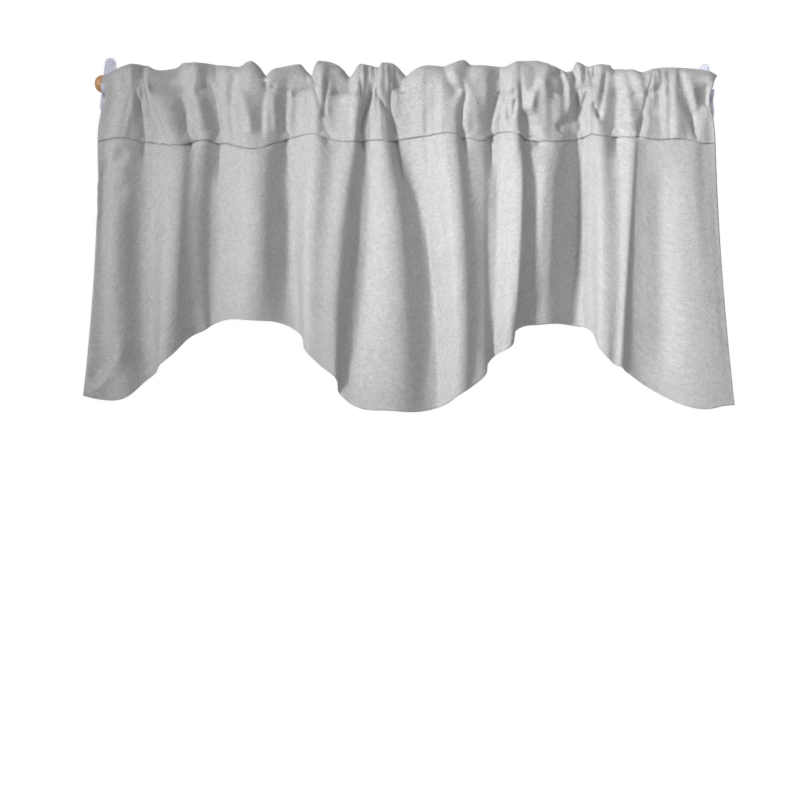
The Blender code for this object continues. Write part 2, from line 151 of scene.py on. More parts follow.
# The sewn line and its stitches. The rounding is a share of a stitch's sides, and the corners are
# how many its rounded box has.
SEAM_DEPTH = 0.7 * MM
SEAM_WIDTH = 1.0 * MM
SEAM_EDGE = 1.3 * MM
STITCH_PITCH = 3.0 * MM
STITCH_LENGTH = 2.3 * MM
STITCH_WIDTH = 0.5 * MM
STITCH_PROUD = 0.3 * MM
STITCH_ROUNDING = 0.28
STITCH_CORNERS = 24

# How finely the cloth is divided, and how strongly its rows crowd towards both ends of the body and
# of the pocket
COLUMN_SPACING = 1.85 * MM
FEWEST_COLUMNS = 4
BODY_ROWS = 43
BODY_CROWDING = 0.75
POCKET_ROWS = 32
POCKET_CROWDING = 0.45
FRONT_TURN_ROWS = 12
BACK_TURN_ROWS = 7
FLAP_ROWS = 7
SEAM_ROW = BODY_ROWS
TOP_ROW = BODY_ROWS + POCKET_ROWS + FRONT_TURN_ROWS

# The camera: its place and roll, and how wide a view it takes in at what distance
CAMERA_PLACE = (-5.05 * MM, -1615 * MM, -370.1 * MM)
CAMERA_ROLL = -0.58
VIEW_WIDTH = 934 * MM
VIEW_DISTANCE = 1550 * MM
SENSOR = 36.0

# The floor, and the light that comes from all round
FLOOR_SIZE = 2.5
FLOOR_HEIGHT = -2.0
LIGHT_ALL_ROUND = 0.32

# The lamps, with their size across, their power in watts and their spread in degrees
Lamp = namedtuple("Lamp", "name place target size power spread")
LAMPS = (
    Lamp("key", (-3.7, -3.1, 0.7), (0, 0, -0.2), 3.6, 30, 180),
    Lamp("right key", (-1.9, -1.6, 0.2), (0.6, 0, -0.22), 0.5, 2.7, 30),
    Lamp("fill", (0.9, -2.4, 0.3), (0.3, 0, -0.2), 1.6, 11.5, 180),
)

# A row for each fold line down the cloth, with its places and heights in millimetres. head, seam, mid
# and hem are its places along the rod at those four levels, and the three fore values say how far it
# stands forward of the cloth's base there. left and right say how broadly the fold turns on each
# side, stitch is the height of the pocket's sewn line and low the height of the hem.
Fold = namedtuple(
    "Fold", "name head seam mid hem fore_head fore_mid fore_hem left right stitch low"
)
FOLDS = (
    Fold("left edge", -358, -363, -363, -377, 4, 8, 11, 0.8, 0.7, -72, -369),
    Fold("valley 0", -350, -356, -356, -358, 4, 7, 10, 0.7, 0.7, -70, -373),
    Fold("ridge 1", -326, -337, -341, -327, 11, 14, 16, 0.8, 0.8, -68, -371),
    Fold("valley 1", -310, -305, -308, -302, 4, 4, 6, 0.7, 1.2, -71, -349),
    Fold("ridge 2", -303, -265, -267, -277, 10, 17, 22, 1.2, 0.8, -75, -325),
    Fold("dip 2", -267, -248, -254, -250, 2, 12, 6, 0.7, 0.7, -70, -297),
    Fold("rise 2", -251, -240, -245, -236, 9, 9, 3, 0.8, 1.2, -69, -290),
    Fold("valley 2", -232, -222, -224, -228, 3, 2, -1, 1.2, 0.65, -70, -284),
    Fold("ridge 3", -182, -178, -174, -179, 13, 18, 20, 0.9, 0.9, -80, -279),
    Fold("valley 3", -130, -137, -140, -131, 2, 4, 3, 0.7, 1.3, -64, -288),
    Fold("ridge 4", -104, -100, -107, -107, 11, 21, 25, 1.3, 0.8, -63, -323),
    Fold("dip 4", -89, -84, -94, -97, 6, 20, 24.5, 0.8, 0.8, -69, -332),
    Fold("rise 4", -56, -63, -78, -83, 11, 21, 25, 0.8, 1.2, -70, -343),
    Fold("valley 4", -45, -47, -52, -73, 5, 9, 12, 1.2, 0.65, -67, -367),
    Fold("ridge 5", -30, -26, -16, -13, 11, 18, 22, 0.9, 0.9, -68, -383),
    Fold("valley 5", -11, -7, 20, 36, 4, 4, 6, 0.8, 0.7, -65, -380),
    Fold("swell 5", 19, 22, 36, 50, 10, 12, 13, 0.8, 0.8, -62, -374),
    Fold("ridge 6", 52, 52, 61, 68, 17, 24, 23, 0.8, 0.8, -60, -361),
    Fold("dip 6", 72, 71, 78, 81, 8, 17.5, 18.5, 0.8, 0.8, -64, -352),
    Fold("rise 6", 87, 87, 88, 93, 11, 14, 17, 0.8, 1.3, -66, -342),
    Fold("valley 6", 106, 105, 101, 101, 2, 9, 8, 1.3, 0.7, -57, -322),
    Fold("ridge 7", 128, 131, 131, 123, 14, 22, 25, 0.9, 0.8, -59, -307),
    Fold("valley 7", 138, 139, 141, 132, 7, 12.5, 9, 0.7, 0.7, -63, -286),
    Fold("rise 7", 158, 164, 162, 160, 12, 14, 9.5, 0.9, 0.9, -67, -280),
    Fold("valley 8", 203, 206, 202, 202, 1, -6, -12, 0.7, 1.2, -60, -280),
    Fold("rise 8", 213, 216, 216, 219, 5, 6, 3, 1.0, 1.0, -57, -286),
    Fold("ridge 8", 224, 226, 232, 235, 10, 18, 22, 1.2, 0.8, -60, -317),
    Fold("dip 8", 244, 241, 246, 245, 2, 17, 19, 0.8, 0.8, -59, -326),
    Fold("ridge 9", 272, 265, 258, 252, 14, 19, 22, 0.8, 0.7, -62, -329),
    Fold("fall 9", 279, 271, 264, 260, 12, 16.5, 14, 0.7, 0.7, -61, -335),
    Fold("valley 9", 286, 281, 277, 289, 11, 15.5, 6, 0.7, 0.7, -63, -354),
    Fold("ridge 10", 317, 329, 333, 356, 13, 18, 19, 0.9, 0.9, -64, -377),
    Fold("dip 10", 346, 348, 351, 375, 8, 16, 19, 0.8, 0.8, -68, -373),
    Fold("right edge", 356, 361, 365, 386, 8, 14, 18, 0.8, 0.8, -67, -372),
)

# The ruffled top edge, in millimetres: the places and heights over the rod's axis of its points, and
# whether the edge is rounded there, runs on through, or turns sharply in a notch
Ruffle = namedtuple("Ruffle", "place height turn")
RUFFLES = (
    Ruffle(-359, 8, "through"), Ruffle(-342, 18, "through"), Ruffle(-328, 23, "through"),
    Ruffle(-312, 23, "round"), Ruffle(-295, 16, "round"), Ruffle(-273, 21, "through"),
    Ruffle(-265, 26, "round"), Ruffle(-233, 25, "through"), Ruffle(-198, 21, "round"),
    Ruffle(-186, 28, "round"), Ruffle(-174, 20, "through"), Ruffle(-167, 10, "notch"),
    Ruffle(-160, 18, "through"), Ruffle(-148, 22, "through"), Ruffle(-127, 26, "round"),
    Ruffle(-120, 19, "through"), Ruffle(-113, 12, "notch"), Ruffle(-107, 28, "through"),
    Ruffle(-101, 29, "round"), Ruffle(-83, 25, "through"), Ruffle(-74, 17, "through"),
    Ruffle(-67, 8, "notch"), Ruffle(-58, 25, "through"), Ruffle(-52, 26, "round"),
    Ruffle(-34, 22, "notch"), Ruffle(-30, 28, "round"), Ruffle(-20, 28, "round"),
    Ruffle(-7, 19, "through"), Ruffle(-1, 13, "notch"), Ruffle(5, 18, "through"),
    Ruffle(22, 25, "round"), Ruffle(44, 25, "round"), Ruffle(66, 32, "round"), Ruffle(76, 26, "round"),
    Ruffle(114, 25, "round"), Ruffle(127, 30, "through"), Ruffle(147, 32, "round"),
    Ruffle(172, 26, "through"), Ruffle(187, 19, "notch"), Ruffle(196, 24, "through"),
    Ruffle(200, 32, "round"), Ruffle(214, 26, "round"), Ruffle(229, 29, "round"),
    Ruffle(239, 28, "notch"), Ruffle(242, 23, "notch"), Ruffle(264, 22, "through"),
    Ruffle(275, 19, "round"), Ruffle(292, 24, "through"), Ruffle(315, 25, "round"),
    Ruffle(342, 24, "through"), Ruffle(360, 20, "through"), Ruffle(367, 15, "through"),
)

# Creases and small folds that the big folds leave out, in millimetres. Each runs down its path of
# places (along the rod, up from the rod's axis). A positive depth is a hollow and a negative one a
# raised fold, left and right are how broadly it fades on each side of a path that runs down, as seen
# from the room, and turn says whether it is a sharp line or a soft one. A fill is a raised fold along
# a valley, which makes the valley shallower.
Crease = namedtuple("Crease", "name turn depth left right path")
CREASES = (
    Crease("soft fold by the left edge", "soft", 2.6, 6, 5, ((-328, 12), (-330, -10), (-338, -26))),
    Crease("first flank", "sharp", 4.5, 8, 2, ((-310, 26), (-309, 2))),
    Crease("first valley", "sharp", 4.0, 4, 2, ((-318, -11), (-314, -26), (-310, -46), (-309, -100))),
    Crease("bright spot", "soft", -3.0, 4, 4, ((-313, -6), (-312, -20))),
    Crease("lip under the rod", "sharp", 6.0, 2, 9, ((-306, -13), (-282, -12), (-258, -18))),
    Crease("second flank", "sharp", 7.5, 11, 3, ((-266, 26), (-268, 4), (-264, -15))),
    Crease("dark sliver", "sharp", 7.5, 8, 2.4, ((-271, -14), (-262, -24), (-261, -42), (-252, -80))),
    Crease("upper lobe", "soft", -3.2, 7, 7, ((-247, 28), (-245, -10))),
    Crease("lower lobe", "soft", -3.0, 7, 7, ((-246, -16), (-243, -36), (-240, -58))),
    Crease("small triangle", "sharp", 2.4, 5, 2, ((-246, -16), (-235, -2))),
    Crease("flank over the curved valley", "sharp", 3.0, 7, 4, ((-226, 28), (-226, 4))),
    Crease("curved valley", "sharp", 5.0, 6, 2.4, ((-234, 6), (-226, -14), (-221, -44), (-221, -118))),
    Crease("soft hollow", "soft", 3.4, 5, 4, ((-202, 12), (-204, -10), (-205, -30))),
    Crease("slanting lobe", "soft", -3.4, 5, 6, ((-194, -9), (-188, -32), (-179, -62))),
    Crease("pocket by the notch", "sharp", 5.5, 9, 4, ((-172, 26), (-166, -4), (-169, -30), (-169, -70))),
    Crease("hook", "sharp", 2.8, 2.2, 2.2, ((-167, 2), (-162, -10), (-158, -8), (-158, 1))),
    Crease("strip beside the hook", "soft", -2.4, 3, 3, ((-157, -12), (-155, -36), (-154, -60))),
    Crease("third valley", "sharp", 5.5, 11, 2.4, ((-129, 8), (-138, 0), (-141, -16), (-139, -110))),
    Crease("second notch facet", "sharp", 8.5, 11, 3, ((-121, 30), (-111, 8), (-108, -8))),
    Crease("second notch lip", "sharp", 6.5, 2, 8, ((-136, -15), (-124, -9), (-110, -3))),
    Crease("second notch line", "sharp", 5.5, 3, 2, ((-109, 13), (-109, -11))),
    Crease("short line by the notch", "sharp", 4.0, 3, 2.2, ((-108, -6), (-104, -20), (-98, -33))),
    Crease("fill in the fourth ridge", "soft", -4.0, 7, 7, ((-98, 28), (-98, -10), (-100, -44))),
    Crease("fourth ridge crease", "sharp", 6.0, 2.2, 2, ((-94, 9), (-96, -14), (-98, -44))),
    Crease("hollow below it", "soft", 3.4, 6, 6, ((-100, -30), (-97, -52), (-91, -78))),
    Crease("third notch facet", "sharp", 8.5, 12, 3, ((-68, 16), (-63, -12))),
    Crease("third notch lip", "sharp", 8.0, 2, 9, ((-90, -12), (-76, -12), (-62, -9))),
    Crease("spot under the lip", "soft", 2.4, 4, 4, ((-80, -14), (-78, -29))),
    Crease("fourth lobe streak", "sharp", 3.2, 4, 3, ((-59, 24), (-56, 4), (-52, -18))),
    Crease("step valley", "sharp", 4.0, 3, 3, ((-40, 26), (-38, 6), (-42, -8))),
    Crease("fill by the left splay", "soft", -3.5, 5, 4, ((-58, 8), (-59, -24), (-61, -54))),
    Crease("left splay", "sharp", 7.0, 3, 2.6, ((-38, 0), (-46, -23), (-53, -44), (-51, -84))),
    Crease("right splay", "sharp", 6.0, 3.4, 2.2, ((-38, -4), (-31, -18), (-20, -36))),
    Crease("fourth notch facet", "sharp", 8.5, 12, 3, ((-1, 22), (-5, 2), (-13, -6))),
    Crease("fourth notch hook", "sharp", 4.0, 2.2, 2.2, ((-16, -3), (-9, -8), (-1, -6))),
    Crease("dark band", "sharp", 6.5, 8, 2.2, ((-14, 4), (-20, -18), (-16, -46), (-3, -120))),
    Crease("pressed line", "sharp", 1.6, 2, 1.4, ((22, 26), (23, -40), (26, -180), (30, -280))),
    Crease("long slant", "sharp", 7.5, 9, 3, ((42, 32), (47, 8), (54, -3), (65, -11))),
    Crease("fill under the winding band", "soft", -5.0, 8, 8, ((66, 12), (69, -20), (66, -60))),
    Crease("winding band", "sharp", 5.0, 3, 2.6, ((61, 8), (67, -8), (64, -34), (65, -54), (69, -86))),
    Crease("lobe right of the band", "soft", -2.4, 5, 6, ((78, -10), (81, -36), (84, -62))),
    Crease("sixth valley", "sharp", 6.5, 9, 2.6, ((109, 28), (108, -4), (100, -34), (98, -62), (101, -100))),
    Crease("twisted bit", "sharp", 4.5, 2.4, 2.6, ((106, -3), (116, -12), (128, -8))),
    Crease("left fork", "sharp", 4.0, 3, 2.4, ((112, -12), (118, -30), (119, -46))),
    Crease("right fork", "sharp", 3.2, 2.4, 2, ((126, -16), (123, -42))),
    Crease("first overlap", "sharp", 4.5, 1.6, 5, ((130, 6), (132, -30), (134, -84))),
    Crease("fill behind the overlap", "soft", -4.0, 5, 9, ((137, 30), (138, -10), (137, -40))),
    Crease("slant in the recess", "sharp", 8.0, 12, 3, ((138, -26), (146, -48), (160, -76))),
    Crease("fill in the recess", "soft", -4.0, 7, 9, ((147, -2), (147, -36), (151, -70))),
    Crease("streak in the recess", "soft", -3.0, 4, 4, ((153, 3), (147, -18), (142, -36))),
    Crease("facet in the recess", "soft", -3.0, 5, 5, ((157, 8), (162, -19))),
    Crease("wedge", "sharp", 9.0, 10, 2.4, ((176, 22), (184, 2), (182, -14))),
    Crease("thin fold", "soft", -3.2, 2.8, 2.8, ((182, 18), (188, -4), (191, -30))),
    Crease("hollow under the wedge", "sharp", 6.0, 2.4, 10, ((200, -28), (187, -38), (173, -50))),
    Crease("deep line", "sharp", 8.5, 3, 2.4, ((194, 28), (198, 2), (201, -42))),
    Crease("fold beside the deep line", "soft", -2.6, 3.5, 4, ((201, 30), (204, -2))),
    Crease("patch", "sharp", 8.5, 11, 3, ((220, 24), (218, -1))),
    Crease("patch lip", "sharp", 5.0, 2, 6, ((202, -3), (210, 0), (220, 1))),
    Crease("thin line under the patch", "sharp", 5.0, 3.4, 2, ((212, -4), (206, -24), (205, -54))),
    Crease("lobe under the patch", "soft", -3.0, 5, 6, ((214, -18), (215, -40), (214, -64))),
    Crease("notch in the lobe", "sharp", 5.5, 3, 4, ((217, -18), (226, -40))),
    Crease("slanting band", "sharp", 5.5, 5, 3, ((232, 20), (229, -8), (224, -42))),
    Crease("deep spot", "sharp", 7.5, 6, 3, ((240, 2), (248, -14), (247, -40), (245, -88))),
    Crease("fill by the deep spot", "soft", -7.0, 7, 12, ((253, 34), (255, -10), (257, -56))),
    Crease("right slant", "sharp", 7.0, 9, 3, ((256, 29), (262, 2), (269, -16))),
    Crease("hollow under the slant", "soft", 4.0, 9, 6, ((266, -8), (271, -38))),
    Crease("third overlap", "sharp", 2.4, 1.4, 4, ((289, 23), (280, -8), (270, -64))),
    Crease("fill under the overlap", "soft", -4.0, 6, 9, ((290, 30), (284, -8), (276, -72))),
    Crease("grainy hollow", "soft", 3.0, 6, 6, ((291, 8), (288, -18), (285, -40))),
    Crease("pull across it", "soft", 2.4, 3.4, 3.4, ((276, -11), (290, -6), (303, 4))),
    Crease("tenth lobe", "soft", -2.6, 8, 8, ((308, -6), (312, -34), (315, -64))),
    Crease("long right slant", "sharp", 6.5, 8, 3.4, ((318, 26), (322, 4), (330, -20), (340, -68))),
    Crease("facet by the slant", "soft", -3.2, 5, 4, ((330, 0), (339, -29))),
    Crease("last hollow", "sharp", 6.5, 7, 2.6, ((351, 4), (349, -24))),
    Crease("upper edge pull", "soft", 6.0, 7, 9, ((-366, -119), (-346, -101), (-326, -80))),
    Crease("middle edge pull", "soft", 2.5, 6, 7, ((-366, -140), (-350, -124), (-334, -108))),
    Crease("lower edge pull", "soft", 6.0, 7, 9, ((-366, -162), (-345, -143), (-326, -121))),
    Crease("corner ridge", "soft", -6.0, 8, 8, ((-367, -370), (-346, -341), (-323, -305))),
    Crease("corner hollow", "soft", 5.0, 8, 8, ((-370, -352), (-352, -334), (-336, -312))),
    Crease("second overlap", "sharp", 3.0, 3, 1.8, ((200, -36), (205, -150), (200, -230), (196, -270))),
    Crease("fourth valley filled", "soft", -3.0, 7, 7, ((-51, -90), (-52, -171), (-70, -330))),
    Crease("sixth valley filled", "soft", -3.0, 8, 8, ((99, -90), (100, -190), (100, -300))),
    Crease("seventh valley filled", "soft", -4.0, 7, 7, ((139, -84), (140, -170), (134, -272))),
    Crease("hollow by the ninth valley", "soft", 4.5, 15, 15, ((297, -76), (297, -171), (306, -345))),
    Crease("recess ridge", "soft", -1.5, 6, 6, ((164, -76), (157, -160), (150, -262))),
    Crease("recess valley", "soft", 2.6, 7, 7, ((180, -90), (179, -170), (172, -268))),
)


# What the pieces share

def mesh_of(name, shape):
    """The mesh of a finished bmesh."""
    mesh = bpy.data.meshes.new(name)
    shape.to_mesh(mesh)
    shape.free()
    return mesh


def add_object(name, data):
    """A new object in the scene, at the origin."""
    made = bpy.data.objects.new(name, data)
    bpy.context.scene.collection.objects.link(made)
    return made


def add_piece(name, mesh):
    """An object of the mesh that rides on the part's one body."""
    made = add_object(name, mesh)
    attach(made, BODY)
    return made


def curve_points(first, first_handle, last_handle, last, t):
    """Points at t, from 0 to 1, along cubic curves given by arrays of control points."""
    s = 1.0 - t
    return (
        s**3 * first
        + 3 * s * s * t * first_handle
        + 3 * s * t * t * last_handle
        + t**3 * last
    )


def crowded(count, crowding):
    """Values from 0 to 1 that lie closer together towards both ends."""
    even = np.linspace(0.0, 1.0, count + 1)
    return even - crowding * np.sin(2 * math.pi * even) / (2 * math.pi)


def bell(distance, width):
    """A soft bell, 1 at no distance and nearly 0 at twice the width."""
    return np.exp(-((distance / width) ** 2))


def cusp(distance, width):
    """A fold that comes to a line, 1 at no distance and nearly 0 at twice the width."""
    return np.exp(-((distance / width) ** CUSP_POWER))


def soft_step(share):
    """Rises smoothly from 0 to 1 as the share does."""
    share = np.clip(share, 0.0, 1.0)
    return share * share * (3 - 2 * share)


# The hung cloth

def flank_segments():
    """How many columns each flank between two fold lines gets."""
    counts = []
    for left, right in zip(FOLDS, FOLDS[1:]):
        across = math.hypot(right.mid - left.mid, right.fore_mid - left.fore_mid) * MM
        counts.append(max(FEWEST_COLUMNS, round(across / COLUMN_SPACING)))
    return counts


def turning_slopes(places, fores):
    """The slope of a level at each fold line, which is none on a ridge or in a valley."""
    rises = np.diff(fores) / np.diff(places)
    slopes = np.zeros(len(places))
    for k in range(1, len(places) - 1):
        if rises[k - 1] * rises[k] > 0:
            slopes[k] = 2 * rises[k - 1] * rises[k] / (rises[k - 1] + rises[k])
    return slopes


def fold_level(places, fores, scale, steepest):
    """The cloth's line at one level, seen from above, as an array of (x, forward)."""
    slopes = turning_slopes(places, fores * scale)
    line = [np.array([(places[0], fores[0] * scale)])]
    for k, count in enumerate(flank_segments()):
        start = np.array((places[k], fores[k] * scale))
        end = np.array((places[k + 1], fores[k + 1] * scale))
        half = 0.5 * math.hypot(*(end - start))
        leaving = half * FOLDS[k].right * np.array((1.0, slopes[k])) / math.hypot(1.0, slopes[k])
        arriving = half * FOLDS[k + 1].left * np.array((1.0, slopes[k + 1]))
        arriving /= math.hypot(1.0, slopes[k + 1])
        ease = min(1.0, 2 * steepest * (end[0] - start[0]) / (leaving[0] + arriving[0]))
        t = (np.arange(1, count + 1) / count)[:, None]
        line.append(curve_points(start, start + leaving * ease, end - arriving * ease, end, t))
    return np.concatenate(line)


def line_length(line):
    """How long a line of points is."""
    return float(np.linalg.norm(np.diff(line, axis=0), axis=1).sum())


def level_of_length(places, fores, steepest, length):
    """The level with its folds made deeper or shallower until it is as long as the cloth in it."""
    low, high = SHALLOWEST_FOLDS, DEEPEST_FOLDS
    for _ in range(HALVINGS):
        scale = (low + high) / 2
        if line_length(fold_level(places, fores, scale, steepest)) < length:
            low = scale
        else:
            high = scale
    return fold_level(places, fores, scale, steepest)


def distance_along(line):
    """How far each point of a line lies from its start."""
    return np.concatenate(([0.0], np.cumsum(np.linalg.norm(np.diff(line, axis=0), axis=1))))


def along_cloth(values, line):
    """A height given at each fold line, carried smoothly along the cloth between them."""
    gone = distance_along(line)
    knots = gone[np.cumsum([0] + flank_segments())]
    slopes = np.gradient(values, knots)
    k = np.clip(np.searchsorted(knots, gone, side="right") - 1, 0, len(knots) - 2)
    span = knots[k + 1] - knots[k]
    return curve_points(
        values[k],
        values[k] + slopes[k] * span / 3,
        values[k + 1] - slopes[k + 1] * span / 3,
        values[k + 1],
        (gone - knots[k]) / span,
    )


def backward(line):
    """The direction out of the cloth's back at each column of a level, as (x, y, z)."""
    run = np.gradient(line, axis=0)
    run /= np.linalg.norm(run, axis=1)[:, None]
    return np.stack([run[:, 1], run[:, 0], np.zeros(len(run))], axis=1)


def column(name):
    """One column of the folds' table, in metres."""
    return np.array([getattr(fold, name) for fold in FOLDS]) * MM


def placed(line, base, height):
    """A level's line in the room: along the rod, forward of the plane Y = 0 by base, at a height."""
    return np.stack([line[:, 0], -(base + line[:, 1]), height * np.ones(len(line))], axis=1)


def ruffle_height(x):
    """The height of the ruffled top edge at each place along the rod."""
    places = np.array([r.place for r in RUFFLES]) * MM
    heights = np.array([r.height for r in RUFFLES]) * MM
    rises = np.diff(heights) / np.diff(places)
    before = np.concatenate((rises[:1], rises))
    after = np.concatenate((rises, rises[-1:]))
    mean = (before + after) / 2
    turns = np.array([r.turn for r in RUFFLES])
    arriving = np.select([turns == "round", turns == "notch"], [0.0 * mean, before], mean)
    leaving = np.select([turns == "round", turns == "notch"], [0.0 * mean, after], mean)
    k = np.clip(np.searchsorted(places, x, side="right") - 1, 0, len(places) - 2)
    span = places[k + 1] - places[k]
    return curve_points(
        heights[k],
        heights[k] + leaving[k] * span / 3,
        heights[k + 1] - arriving[k + 1] * span / 3,
        heights[k + 1],
        (x - places[k]) / span,
    )


def hung_rows():
    """The hung cloth before its creases, as an array of points by row and column.

    The rows run from the hem up the front, over the rod and down behind it to the sewn line. The
    second value says how far across the flat cloth each column lies.
    """
    fore_seam = (column("fore_head") + column("fore_mid")) / 2
    head_width, seam_width = FLAT_WIDTH * HEAD_FOLD_SHARE, FLAT_WIDTH * SEAM_FOLD_SHARE
    head_line = level_of_length(column("head"), column("fore_head"), STEEPEST_SEWN, head_width)
    seam_line = level_of_length(column("seam"), fore_seam, STEEPEST_SEWN, seam_width)
    mid_line = level_of_length(column("mid"), column("fore_mid"), STEEPEST_FREE, FLAT_WIDTH)
    hem_line = level_of_length(column("hem"), column("fore_hem"), STEEPEST_HEM, FLAT_WIDTH)
    over_rod = fold_level(column("head"), column("fore_head"), 1.0, STEEPEST_OVER_ROD)

    head_base = ROD_STANDOFF + ROD_RADIUS + ROD_CLEARANCE
    head = placed(head_line, head_base, 0.0)
    past_end = np.maximum(0.0, np.abs(head[:, 0]) - END_START) / (CLOTH_REACH - END_START)
    outward = np.sign(head[:, 0]) * past_end**2
    flared = np.maximum(0.0, outward)
    head[:, 0] += FLARE_AT_ROD * flared
    seam = placed(seam_line, SEAM_BASE, along_cloth(column("stitch"), seam_line))
    mid = placed(mid_line, MID_BASE, MID_HEIGHT)
    hem = placed(hem_line, HEM_BASE, along_cloth(column("low"), hem_line))
    mid_share = ((mid[:, 2] - seam[:, 2]) / (hem[:, 2] - seam[:, 2]))[:, None]

    def body(share):
        """A curve through the seam, the middle level and the hem."""
        from_seam = (share - mid_share) * (share - 1) / mid_share
        from_mid = share * (share - 1) / (mid_share * (mid_share - 1))
        from_hem = share * (share - mid_share) / (1 - mid_share)
        return from_seam * seam + from_mid * mid + from_hem * hem

    seam_share = SEAM_EDGE / -(MID_HEIGHT - seam[:, 2].mean()) * mid_share.mean()
    shares = 1 - crowded(BODY_ROWS - 1, BODY_CROWDING)
    rows = [body(share) for share in (*shares[:-1], seam_share, 0.0)]
    just_below = body(SEAM_SLOPE_SHARE)
    upward = (seam - just_below) / (seam - just_below)[:, 2:]
    third = (head[:, 2:] - seam[:, 2:]) / 3
    shares = crowded(POCKET_ROWS - 1, POCKET_CROWDING)[1:]
    for t in (SEAM_EDGE / -seam[:, 2].mean(), *shares):
        row = curve_points(seam, seam + upward * third, head - UP * third, head, t)
        # The tuck is deepest near the rod, and there is none at the rod or at the sewn line
        row[:, 0] -= END_TUCK * outward * math.sin(math.pi * t**3)
        rows.append(row)

    top = placed(over_rod, 0.0, 0.0)
    top[:, 1] = -(ROD_STANDOFF + TOP_LEAN * (over_rod[:, 1] - over_rod[:, 1].mean()))
    top[:, 0] += FLARE * flared
    top[:, 2] = ruffle_height(top[:, 0])
    back = placed(over_rod, 0.0, 0.0)
    past = np.maximum(0.0, np.abs(back[:, 0]) - BACK_PULL_START) / (CLOTH_REACH - BACK_PULL_START)
    back[:, 0] -= np.sign(back[:, 0]) * BACK_PULL * past**2
    back[:, 1] = -(ROD_STANDOFF - ROD_RADIUS - ROD_CLEARANCE) + BACK_GATHER * over_rod[:, 1]
    lift = UP * top[:, 2:] * QUARTER_TURN_HANDLE
    to_front = AWAY * QUARTER_TURN_HANDLE * (top[:, 1:2] - head[:, 1:2])
    to_back = AWAY * QUARTER_TURN_HANDLE * (back[:, 1:2] - top[:, 1:2])
    for t in np.linspace(0, 1, FRONT_TURN_ROWS + 1)[1:]:
        rows.append(curve_points(head, head + lift, top - to_front, top, t))
    for t in np.linspace(0, 1, BACK_TURN_ROWS + 1)[1:]:
        rows.append(curve_points(top, top + to_back, back + lift, back, t))

    sewn = seam + FLAP_BEHIND * backward(seam_line)
    opened = seam + upward * third + FLAP_OPENING * backward(seam_line)
    opened[:, 0] -= FLAP_TUCK * outward
    for t in np.linspace(0, 1, FLAP_ROWS + 1)[1:]:
        rows.append(curve_points(back, back - UP * third, opened, sewn, t))
    return np.array(rows), distance_along(mid_line)


def clear_of_rod(points):
    """Pushes what comes too near the rod out to lie on it."""
    y = points[..., 1] + ROD_STANDOFF
    z = points[..., 2]
    away = np.maximum(np.hypot(y, z), LEAST_DISTANCE)
    least = ROD_RADIUS + ROD_TOUCH + CLOTH_THICKNESS / 2
    grow = np.maximum(1.0, least / away)
    points[..., 1] = y * grow - ROD_STANDOFF
    points[..., 2] = z * grow
    return points


def rounded_path(path):
    """The places of a crease as a smooth line of many points."""
    knots = np.array(path, dtype=float) * MM
    walked = distance_along(knots)
    if len(knots) == 2:
        slopes = np.diff(knots, axis=0)[[0, 0]] / walked[-1]
    else:
        slopes = np.gradient(knots, walked, axis=0)
    line = [knots[:1]]
    for k in range(len(knots) - 1):
        span = walked[k + 1] - walked[k]
        t = (np.arange(1, PATH_STEPS + 1) / PATH_STEPS)[:, None]
        first = knots[k] + slopes[k] * span / 3
        last = knots[k + 1] - slopes[k + 1] * span / 3
        line.append(curve_points(knots[k], first, last, knots[k + 1], t))
    return np.concatenate(line)


def crease_depth(crease, x, z):
    """How far one crease pushes the cloth back at each place."""
    path = rounded_path(crease.path)
    steps = np.diff(path, axis=0)
    whole = line_length(path)
    nearest = np.full(x.shape, np.inf)
    side = np.zeros(x.shape)
    gone = np.zeros(x.shape)
    walked = 0.0
    for start, step in zip(path, steps):
        length = math.hypot(*step)
        share = ((x - start[0]) * step[0] + (z - start[1]) * step[1]) / length**2
        share = np.clip(share, 0.0, 1.0)
        off_x = x - start[0] - share * step[0]
        off_z = z - start[1] - share * step[1]
        away = np.hypot(off_x, off_z)
        closer = away < nearest
        nearest = np.where(closer, away, nearest)
        side = np.where(closer, step[0] * off_z - step[1] * off_x, side)
        gone = np.where(closer, walked + share * length, gone)
        walked += length
    width = np.where(side > 0, crease.right, crease.left) * MM
    shape = cusp if crease.turn == "sharp" else bell
    fade = CREASE_FADE * whole
    ends = soft_step(gone / fade) * soft_step((whole - gone) / fade)
    return crease.depth * MM * ends * shape(nearest, width)


def distance_down(points):
    """How far each point of the cloth lies from the hem, along its column."""
    down = np.linalg.norm(np.diff(points, axis=0), axis=2).cumsum(axis=0)
    return np.concatenate((np.zeros((1, points.shape[1])), down))


def uneven_waves(across, down, waves):
    """Uneven small waves over the flat cloth, about -1 to 1."""
    waves_across, waves_down, noise_slice = waves
    heights = np.zeros(down.shape)
    for j in range(down.shape[0]):
        for i in range(down.shape[1]):
            place = (across[i] * waves_across, down[j, i] * waves_down, noise_slice)
            heights[j, i] = noise.noise(place, noise_basis="PERLIN_ORIGINAL")
    return heights


